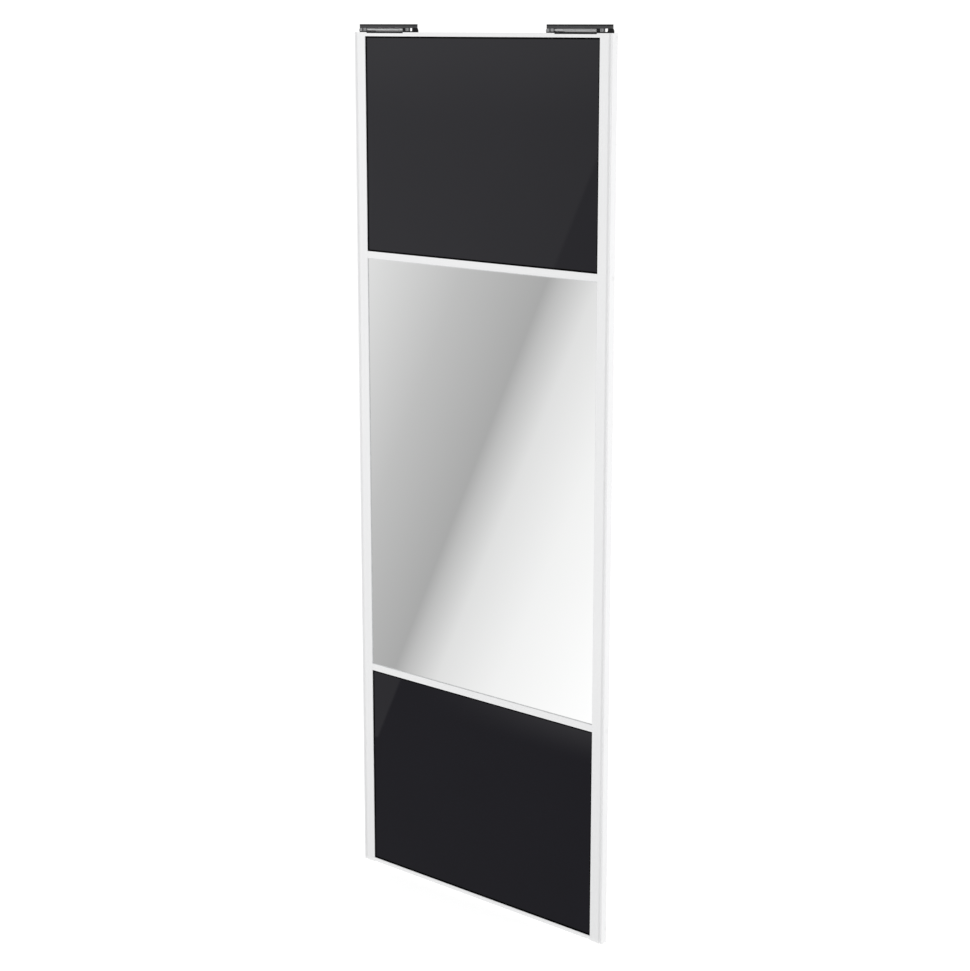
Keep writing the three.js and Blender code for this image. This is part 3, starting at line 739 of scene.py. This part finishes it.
def revolve(bm, rows, axis, centre, segments=48):
    """Turns rows of (radius, place along the axis). A radius is a number, or a function of
    the angle where the section isn't round. All lengths are metres."""
    rings = []
    for radius, along in rows:
        if radius == 0:
            spots = [(along, 0, 0)]
        else:
            spots = []
            for i in range(segments):
                angle = TURN * i / segments
                r = radius(angle) if callable(radius) else radius
                spots.append((along, r * math.cos(angle), r * math.sin(angle)))
        rings.append([bm.verts.new(centre + Vector(AXIS_PLACES[axis](*spot))) for spot in spots])
    for ring, after in zip(rings, rings[1:]):
        count = max(len(ring), len(after))
        if count == 1:
            continue
        for i in range(count):
            j = (i + 1) % count
            corners = []
            for vert in (
                ring[i % len(ring)],
                ring[j % len(ring)],
                after[j % len(after)],
                after[i % len(after)],
            ):
                if vert not in corners:
                    corners.append(vert)
            bm.faces.new(corners)


def hexagon(inner):
    """A hexagon's radius against the angle, from the radius of its inscribed circle."""
    return lambda angle: inner / math.cos((angle + TURN / 12) % (TURN / 6) - TURN / 12)


def thread_rows(radius, depth, pitch, start, end):
    """Rows whose radius follows a helical thread between two places along the axis."""
    count = max(2, round(6 * abs(end - start) / pitch))
    rows = []
    for i in range(count + 1):
        along = start + (end - start) * i / count
        rows.append(
            (lambda a, z=along: radius - depth * abs(2 * ((z / pitch - a / TURN) % 1) - 1), along)
        )
    return rows


def sweep(bm, points, radius, sides=8):
    """A round wire along a line of points, with closed ends."""
    normal = Vector((0, 0, 1))
    rings = []
    last = len(points) - 1
    for i, point in enumerate(points):
        ahead = (points[min(i + 1, last)] - points[max(i - 1, 0)]).normalized()
        normal = (normal - ahead * normal.dot(ahead)).normalized()
        side = ahead.cross(normal)
        ring = []
        for k in range(sides):
            angle = TURN * k / sides
            spoke = math.cos(angle) * normal + math.sin(angle) * side
            ring.append(bm.verts.new(point + radius * spoke))
        rings.append(ring)
    for ring, after in zip(rings, rings[1:]):
        for k in range(sides):
            j = (k + 1) % sides
            bm.faces.new((ring[k], ring[j], after[j], after[k]))
    bm.faces.new(rings[0])
    bm.faces.new(rings[-1])


def framed(bm, profile, half, low, high):
    """Sweeps a closed profile round a rectangle with mitred corners. Profile points are
    (distance inside the rectangle, y)."""
    loops = []
    for x_sign, z_edge, z_sign in ((-1, low, 1), (1, low, 1), (1, high, -1), (-1, high, -1)):
        loop = []
        for inset, y in profile:
            loop.append(bm.verts.new((x_sign * (half - inset), y, z_edge + z_sign * inset)))
        loops.append(loop)
    for i, loop in enumerate(loops):
        after = loops[(i + 1) % len(loops)]
        for k in range(len(profile)):
            j = (k + 1) % len(profile)
            bm.faces.new((loop[k], loop[j], after[j], after[k]))


def slab(bm, low, high, chamfer=0.0, segments=2):
    """A box between two corners, with its edges rounded off."""
    made = bmesh.ops.create_cube(bm, size=1.0)
    size = high - low
    middle = (high + low) / 2
    for vert in made["verts"]:
        vert.co = Vector(vert.co[i] * size[i] + middle[i] for i in range(3))
    if chamfer:
        edges = list({edge for vert in made["verts"] for edge in vert.link_edges})
        bmesh.ops.bevel(
            bm,
            geom=edges,
            offset=chamfer,
            segments=segments,
            affect="EDGES",
            profile=0.5,
            clamp_overlap=True,
        )


def arc_points(centre, radius, start, end, steps):
    """Points of an arc as (first, second) coordinates, angles in degrees."""
    points = []
    for i in range(steps + 1):
        angle = math.radians(start + (end - start) * i / steps)
        points.append((centre[0] + radius * math.cos(angle), centre[1] + radius * math.sin(angle)))
    return points


# ---------------------------------------------------------------- carried-over CAD nodes

EDGE_RADIUS = {
    "white_lacquer": 0.45 * MM,
    "dark_steel": 0.5 * MM,
    "dark_plastic": 0.4 * MM,
    "grey_plastic": 0.5 * MM,
    "zinc_steel": 0.3 * MM,
}

for name, node in frame["nodes"].items():
    slot = SLOT_OF[name]
    node.data.materials.clear()
    node.data.materials.append(MATERIALS[slot])
    soften(node, EDGE_RADIUS.get(slot, 0.15 * MM))


# ---------------------------------------------------------------- panes, films and gaskets

PANE_ARRIS = 0.6 * MM
GASKET_LIPS = {"bottom": 4.6 * MM, "middle": 2.0 * MM, "top": 4.6 * MM}
FACE, REAR, RIM = 0, 1, 2


def pane(level):
    """A glass pane with arrised edges, painted or silvered on its back."""
    node = PANES[level]
    low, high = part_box(node)
    bm = bmesh.new()
    slab(bm, low, high, PANE_ARRIS, 1)
    bm.normal_update()
    for face in bm.faces:
        face.material_index = RIM
        if face.normal.y < -0.9:
            face.material_index = FACE
        if face.normal.y > 0.9:
            face.material_index = REAR
    mirrored = level == "middle"
    finishes = [
        MATERIALS["mirror" if mirrored else "black_glass"],
        MIRROR_PAINT if mirrored else BLACK_PAINT,
        GLASS_EDGE,
    ]
    piece = new_piece(f"{node}_pane", bm, finishes, node=node)
    piece.data.shade_flat()


def film(level):
    """The safety film: a sheet with slight waves and a few long pulls from being rolled on."""
    node = f"safety_film_{level}"
    low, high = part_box(node)
    columns, rows = 72, 90
    front, back = low.y, high.y
    bm = bmesh.new()
    sheets = []
    for y, wavy in ((front, False), (back, True)):
        grid = []
        for r in range(rows + 1):
            z = low.z + (high.z - low.z) * r / rows
            line = []
            for c in range(columns + 1):
                x = low.x + (high.x - low.x) * c / columns
                lift = 0.0
                if wavy:
                    roll = math.sin(31 * z + 2.3 * math.sin(5 * x)) * math.sin(11 * x + 3 * z)
                    pull = math.sin(97 * x + 6 * math.sin(3 * z)) ** 8
                    lift = -(0.05 * roll + 0.07 * pull + 0.06) * MM
                line.append(bm.verts.new((x, y + lift, z)))
            grid.append(line)
        sheets.append(grid)
    for grid in sheets:
        for r in range(rows):
            for c in range(columns):
                bm.faces.new((grid[r][c], grid[r][c + 1], grid[r + 1][c + 1], grid[r + 1][c]))
    rims = []
    for grid in sheets:
        rims.append(
            grid[0]
            + [line[-1] for line in grid[1:]]
            + grid[-1][-2::-1]
            + [line[0] for line in grid[-2:0:-1]]
        )
    for i in range(len(rims[0])):
        j = (i + 1) % len(rims[0])
        bm.faces.new((rims[0][i], rims[0][j], rims[1][j], rims[1][i]))
    new_piece(f"{node}_sheet", bm, MATERIALS["pale_film"], node=node)


def gasket(level):
    """A U-shaped extrusion round the pane, with a rounded lip before and behind the glass
    and mitred corners."""
    node = f"gasket_{level}"
    low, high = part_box(node)
    glass_low, glass_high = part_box(PANES[level])
    stile_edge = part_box("stile_right")[0].x
    lip = GASKET_LIPS[level]
    reach = high.x - stile_edge
    groove = glass_high.x - stile_edge + 0.05 * MM
    front, back = low.y, high.y
    glass_front = glass_low.y - 0.05 * MM
    glass_back = glass_high.y + 0.05 * MM
    front_lip = (glass_front - front) / 2
    back_lip = (back - glass_back) / 2
    profile = [(-reach, front), (-reach, back)]
    profile += arc_points((lip - back_lip, back - back_lip), back_lip, 90, -90, 6)
    profile += [(-groove, glass_back), (-groove, glass_front)]
    profile += arc_points((lip - front_lip, glass_front - front_lip), front_lip, 90, -90, 6)
    bm = bmesh.new()
    framed(bm, profile, stile_edge, low.z + reach, high.z - reach)
    new_piece(f"{node}_seal", bm, MATERIALS[SLOT_OF[node]], node=node)


for level in PANES:
    pane(level)
    film(level)
    gasket(level)


# ---------------------------------------------------------------- screws and caps


def screw_rows(seat, head, tip, direction):
    """Rows of a pan-head screw with a hexagon socket. direction is 1 when the head is at
    the higher end."""
    rows = [(0, tip), (0.5 * MM, tip + direction * 0.5 * MM)]
    rows += thread_rows(head["core"], head["depth"], head["pitch"], tip + direction * 2 * MM, seat)
    top = seat + direction * head["height"]
    socket_floor = top - direction * head["height"] * 0.55
    rows += [
        (head["radius"] - 0.2 * MM, seat),
        (head["radius"], seat + direction * 0.2 * MM),
        (head["radius"], seat + direction * head["height"] * 0.45),
        (head["radius"] - 0.25 * head["height"], seat + direction * head["height"] * 0.8),
        (head["radius"] - 0.6 * head["height"], top),
        (hexagon(head["socket"] + 0.15 * MM), top),
        (hexagon(head["socket"]), top - direction * 0.15 * MM),
        (hexagon(head["socket"]), socket_floor),
        (0, socket_floor - direction * 0.3 * MM),
    ]
    return rows


def frame_screws():
    """The eight screws through the stiles into the ends of the rails and dividers."""
    head = {
        "core": 2.0 * MM,
        "depth": 0.45 * MM,
        "pitch": 1.4 * MM,
        "radius": 4.0 * MM,
        "height": 2.6 * MM,
        "socket": 1.4 * MM,
    }
    for side, sign in OUTWARD.items():
        for level in LEVELS:
            node = f"frame_screw_{level}_{side}"
            low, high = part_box(node)
            middle = (low + high) / 2
            outer = high.x if sign > 0 else low.x
            tip = low.x if sign > 0 else high.x
            bm = bmesh.new()
            rows = screw_rows(outer - sign * head["height"], head, tip, sign)
            revolve(bm, rows, "X", Vector((0, middle.y, middle.z)), 36)
            new_piece(f"{node}_bolt", bm, MATERIALS["zinc_steel"], node=node)


def cover_caps():
    """A plug in each screw's access hole, flush with the stile's edge."""
    radius = 4.35 * MM
    for side, sign in OUTWARD.items():
        edge = cad_high.x * sign
        for level in LEVELS:
            low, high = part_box(f"frame_screw_{level}_{side}")
            middle = (low + high) / 2
            rows = [
                (0, edge - sign * 5.5 * MM),
                (3.4 * MM, edge - sign * 5.5 * MM),
                (3.7 * MM, edge - sign * 5.0 * MM),
                (radius, edge - sign * 3.4 * MM),
                (radius, edge - sign * 0.55 * MM),
                (radius - 0.12 * MM, edge - sign * 0.28 * MM),
                (radius - 0.4 * MM, edge - sign * 0.16 * MM),
                (radius - 1.6 * MM, edge - sign * 0.07 * MM),
                (0, edge - sign * 0.04 * MM),
            ]
            bm = bmesh.new()
            revolve(bm, rows, "X", Vector((0, middle.y, middle.z)), 56)
            name = f"cover_cap_{level}_{side}"
            new_piece(name, bm, MATERIALS["white_plastic"])


def closer_screws():
    """The two screws through each closer into the top rail and the stile's plug."""
    head = {
        "core": 1.7 * MM,
        "depth": 0.4 * MM,
        "pitch": 1.2 * MM,
        "radius": 2.8 * MM,
        "height": 2.3 * MM,
        "socket": 1.1 * MM,
    }
    for side in SIDES:
        for end in ("catch_end", "fixed_end"):
            node = f"closer_screw_{end}_{side}"
            low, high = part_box(node)
            middle = (low + high) / 2
            bm = bmesh.new()
            rows = screw_rows(high.z - head["height"], head, low.z, 1)
            revolve(bm, rows, "Z", Vector((middle.x, middle.y, 0)), 36)
            new_piece(f"{node}_bolt", bm, MATERIALS["zinc_steel"], node=node)


frame_screws()
cover_caps()
closer_screws()


# ---------------------------------------------------------------- soft closers


def lathe_piece(name, rows, axis, centre, finish, body, node=None, segments=56):
    """A turned piece, put in the scene as new_piece does."""
    bm = bmesh.new()
    revolve(bm, rows, axis, centre, segments)
    return new_piece(name, bm, finish, body, node)


def damper_axis(side):
    low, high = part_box(f"damper_cylinder_{side}")
    middle = (low + high) / 2
    return Vector((0, middle.y, middle.z))


def damper_tube(side):
    """The damper's drawn cylinder, with a crimped groove near its closed end."""
    node = f"damper_cylinder_{side}"
    low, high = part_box(node)
    r = (high.z - low.z) / 2
    bore = 1.6 * MM
    crimp = high.x - 8 * MM
    rows = [(bore, low.x + 20 * MM), (bore, low.x), (r - 0.5 * MM, low.x), (r, low.x + 0.5 * MM)]
    rows += [(r, crimp - 0.2 * MM)]
    for i in range(9):
        share = i / 8
        rows.append((r - 0.45 * MM * math.sin(math.pi * share) ** 2, crimp + 2 * MM * share))
    rows += [
        (r, high.x - 0.9 * MM),
        (r - 0.15 * MM, high.x - 0.35 * MM),
        (r - 0.7 * MM, high.x),
        (1.4 * MM, high.x),
        (1.2 * MM, high.x - 0.4 * MM),
        (0, high.x - 0.4 * MM),
    ]
    lathe_piece(
        f"damper_tube_{side}", rows, "X", damper_axis(side), MATERIALS["satin_aluminium"],
        "door", node,
    )


def damper_shroud(side):
    """The thin sleeve that slides over the cylinder with the catch."""
    node = f"damper_sleeve_{side}"
    low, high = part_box(node)
    r = (high.z - low.z) / 2
    inner = r - 0.25 * MM
    rows = [
        (1.35 * MM, low.x + 2 * MM),
        (1.35 * MM, low.x),
        (r - 0.4 * MM, low.x),
        (r, low.x + 0.4 * MM),
        (r, low.x + 3.4 * MM),
        (r - 0.3 * MM, low.x + 3.7 * MM),
        (r - 0.3 * MM, low.x + 4.5 * MM),
        (r, low.x + 4.8 * MM),
        (r, high.x - 1.6 * MM),
        (r - 0.12 * MM, high.x - 0.3 * MM),
        (inner, high.x),
        (inner, low.x + 2 * MM),
        (1.35 * MM, low.x + 2 * MM),
    ]
    lathe_piece(
        f"damper_shroud_{side}", rows, "X", damper_axis(side), MATERIALS["satin_aluminium"],
        f"closer_catch_{side}", node,
    )


def damper_pin(side):
    """The damper's rod, which the catch pushes into the cylinder."""
    node = f"damper_rod_{side}"
    low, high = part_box(node)
    r = (high.z - low.z) / 2
    rows = [
        (0, low.x),
        (r - 0.2 * MM, low.x),
        (r, low.x + 0.2 * MM),
        (r, high.x - 3 * MM),
        (r - 0.3 * MM, high.x - 2.6 * MM),
        (r - 0.3 * MM, high.x - 0.6 * MM),
        (0, high.x),
    ]
    lathe_piece(
        f"damper_pin_{side}", rows, "X", damper_axis(side), MATERIALS["bright_steel"],
        f"closer_catch_{side}", node, segments=32,
    )


WIRE = 0.34 * MM
COIL_PITCH = 1.35 * MM


def closer_spring(side):
    """A close-wound tension spring with a hook at each end."""
    node = f"closer_spring_{side}"
    low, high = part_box(node)
    middle = (low + high) / 2
    coil = (high.z - low.z) / 2 - WIRE - 0.05 * MM
    hook = 4.0 * MM
    start, end = low.x + hook, high.x - hook
    turns = round((end - start) / COIL_PITCH)
    steps = 14
    coils = []
    for i in range(turns * steps + 1):
        angle = TURN * i / steps
        x = start + (end - start) * i / (turns * steps)
        y = middle.y + coil * math.sin(angle)
        z = middle.z + coil * math.cos(angle)
        coils.append(Vector((x, y, z)))
    first, last = coils[0], coils[-1]
    lead_in = []
    for i in range(8):
        angle = math.pi * i / 7
        lead_in.append(
            Vector((
                first.x - hook * 0.45 - hook * 0.42 * math.cos(math.pi / 2 - angle),
                middle.y,
                middle.z - coil * 0.9 + coil * 1.8 * i / 7,
            ))
        )
    lead_out = []
    for point in lead_in:
        lead_out.append(Vector((last.x + (first.x - point.x), middle.y, point.z)))
    lead_out.reverse()
    bm = bmesh.new()
    sweep(bm, lead_in + coils + lead_out, WIRE, 7)
    piece = new_piece(f"{node}_coil", bm, MATERIALS["zinc_steel"], node=node)
    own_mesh(piece)


def closer_end_plates(side):
    """The channel's closed ends: at each end a thin plate held by a domed rivet."""
    low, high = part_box(f"closer_channel_{side}")
    middle = (low + high) / 2
    start, thick, inset = 0.1 * MM, 0.7 * MM, 0.1 * MM
    head = 1.6 * MM  # radius of the rivet
    for end, edge, outward in (("catch_end", low.x, -1), ("fixed_end", high.x, 1)):
        faces = sorted((edge + outward * start, edge + outward * thick))
        bm = bmesh.new()
        slab(
            bm,
            Vector((faces[0], low.y + inset, low.z + inset)),
            Vector((faces[1], high.y - inset, high.z - inset)),
            0.2 * MM,
        )
        rows = [(0, edge + outward * start), (head, edge + outward * start)]
        for i in range(7):
            angle = math.pi / 2 * i / 6
            along = thick + 0.5 * MM * math.sin(angle)
            rows.append((head * math.cos(angle), edge + outward * along))
        revolve(bm, rows, "X", Vector((0, middle.y, middle.z)), 28)
        name = f"closer_end_plate_{end}_{side}"
        new_piece(name, bm, MATERIALS["dark_steel"])


for side in SIDES:
    damper_tube(side)
    damper_shroud(side)
    damper_pin(side)
    closer_spring(side)
    closer_end_plates(side)


# ---------------------------------------------------------------- bottom rollers

HUB = 5.6 * MM  # radius of the bearing's seat in the wheel


def wheel(side):
    """The nylon wheel, with a shallow groove for the track's rail."""
    node = f"roller_wheel_{side}"
    low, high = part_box(node)
    radius = (high.x - low.x) / 2
    half = (high.y - low.y) / 2
    groove = []
    for i in range(9):
        share = i / 8
        depth = 0.95 * MM * math.sin(math.pi * share) ** 0.7
        groove.append((radius - depth, (2 * share - 1) * 1.6 * MM))
    rows = [(HUB, -half), (HUB + 0.7 * MM, -half), (HUB + 1.4 * MM, 1.1 * MM - half)]
    rows += [(11.2 * MM, 1.1 * MM - half), (12.2 * MM, 0.3 * MM - half), (radius - 1.6 * MM, -half)]
    rows += [(radius - 0.5 * MM, -half + 0.25 * MM), (radius, -half + 0.8 * MM)]
    rows += groove
    rows += [(r, -along) for r, along in reversed(rows[: -len(groove)])]
    rows.append((HUB, -half))
    lathe_piece(
        f"wheel_tyre_{side}", rows, "Y", (low + high) / 2, MATERIALS["pale_nylon"], node, node,
        segments=96,
    )


def bearing(side):
    """The bearing ring pressed into the wheel's hub."""
    body = f"roller_wheel_{side}"
    low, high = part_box(body)
    axle_low, axle_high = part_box(f"roller_axle_{side}")
    inner = (axle_high.x - axle_low.x) / 2 + 0.12 * MM
    edge = (high.y - low.y) / 2 - 0.25 * MM
    rows = [(inner, -edge), (inner + 0.8 * MM, -edge), (inner + 0.9 * MM, 0.3 * MM - edge)]
    rows += [(HUB - 0.9 * MM, 0.3 * MM - edge), (HUB - 0.8 * MM, -edge), (HUB - 0.02 * MM, -edge)]
    rows += [(r, -along) for r, along in reversed(rows)]
    rows.append(rows[0])
    lathe_piece(
        f"wheel_bearing_{side}", rows, "Y", (low + high) / 2, MATERIALS["bright_steel"], body,
        segments=64,
    )


def axle_pin(side):
    """The pin the wheel turns on, with chamfered ends."""
    node = f"roller_axle_{side}"
    low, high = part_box(node)
    radius = (high.x - low.x) / 2
    length = (high.y - low.y) / 2
    rows = [
        (0, -length),
        (radius - 0.4 * MM, -length),
        (radius, 0.4 * MM - length),
        (radius, length - 0.4 * MM),
        (radius - 0.4 * MM, length),
        (0, length),
    ]
    wheel_low, wheel_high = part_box(f"roller_wheel_{side}")
    lathe_piece(
        f"axle_pin_{side}", rows, "Y", (wheel_low + wheel_high) / 2, MATERIALS["bright_steel"],
        f"roller_carrier_{side}", node,
    )


def adjuster(side):
    """The height screw: thread below, a turned head with a hexagon socket above."""
    node = f"roller_adjuster_{side}"
    low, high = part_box(node)
    middle = (low + high) / 2
    seat = high.z - 2.0 * MM
    rows = [(0, low.z), (1.5 * MM, low.z)]
    rows += thread_rows(2.0 * MM, 0.4 * MM, 0.8 * MM, low.z + 0.4 * MM, seat - 2 * MM)
    rows += [
        (1.7 * MM, seat),
        (3.5 * MM, seat),
        (3.7 * MM, seat + 0.2 * MM),
        (3.7 * MM, high.z - 0.3 * MM),
        (3.4 * MM, high.z),
        (hexagon(1.75 * MM), high.z),
        (hexagon(1.6 * MM), high.z - 0.15 * MM),
        (hexagon(1.6 * MM), high.z - 1.3 * MM),
        (0, high.z - 1.6 * MM),
    ]
    lathe_piece(
        f"adjuster_bolt_{side}", rows, "Z", Vector((middle.x, middle.y, 0)),
        MATERIALS["zinc_steel"], node, node, segments=42,
    )


def roller_screw(side):
    """The screw that holds the housing in the rail, put in from below."""
    node = f"roller_screw_{side}"
    low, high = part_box(node)
    middle = (low + high) / 2
    rows = [(0, high.z), (0.8 * MM, high.z - 0.4 * MM)]
    rows += thread_rows(1.7 * MM, 0.35 * MM, 1.2 * MM, high.z - 1.6 * MM, low.z + 1.8 * MM)
    rows += [
        (3.2 * MM, low.z + 1.6 * MM),
        (3.4 * MM, low.z + 1.4 * MM),
        (3.4 * MM, low.z + 0.8 * MM),
        (2.4 * MM, low.z),
        (hexagon(1.1 * MM), low.z),
        (hexagon(1.0 * MM), low.z + 1.2 * MM),
        (0, low.z + 1.4 * MM),
    ]
    lathe_piece(
        f"{node}_bolt", rows, "Z", Vector((middle.x, middle.y, 0)), MATERIALS["zinc_steel"],
        "door", node, segments=36,
    )


for side in SIDES:
    wheel(side)
    bearing(side)
    axle_pin(side)
    adjuster(side)
    roller_screw(side)
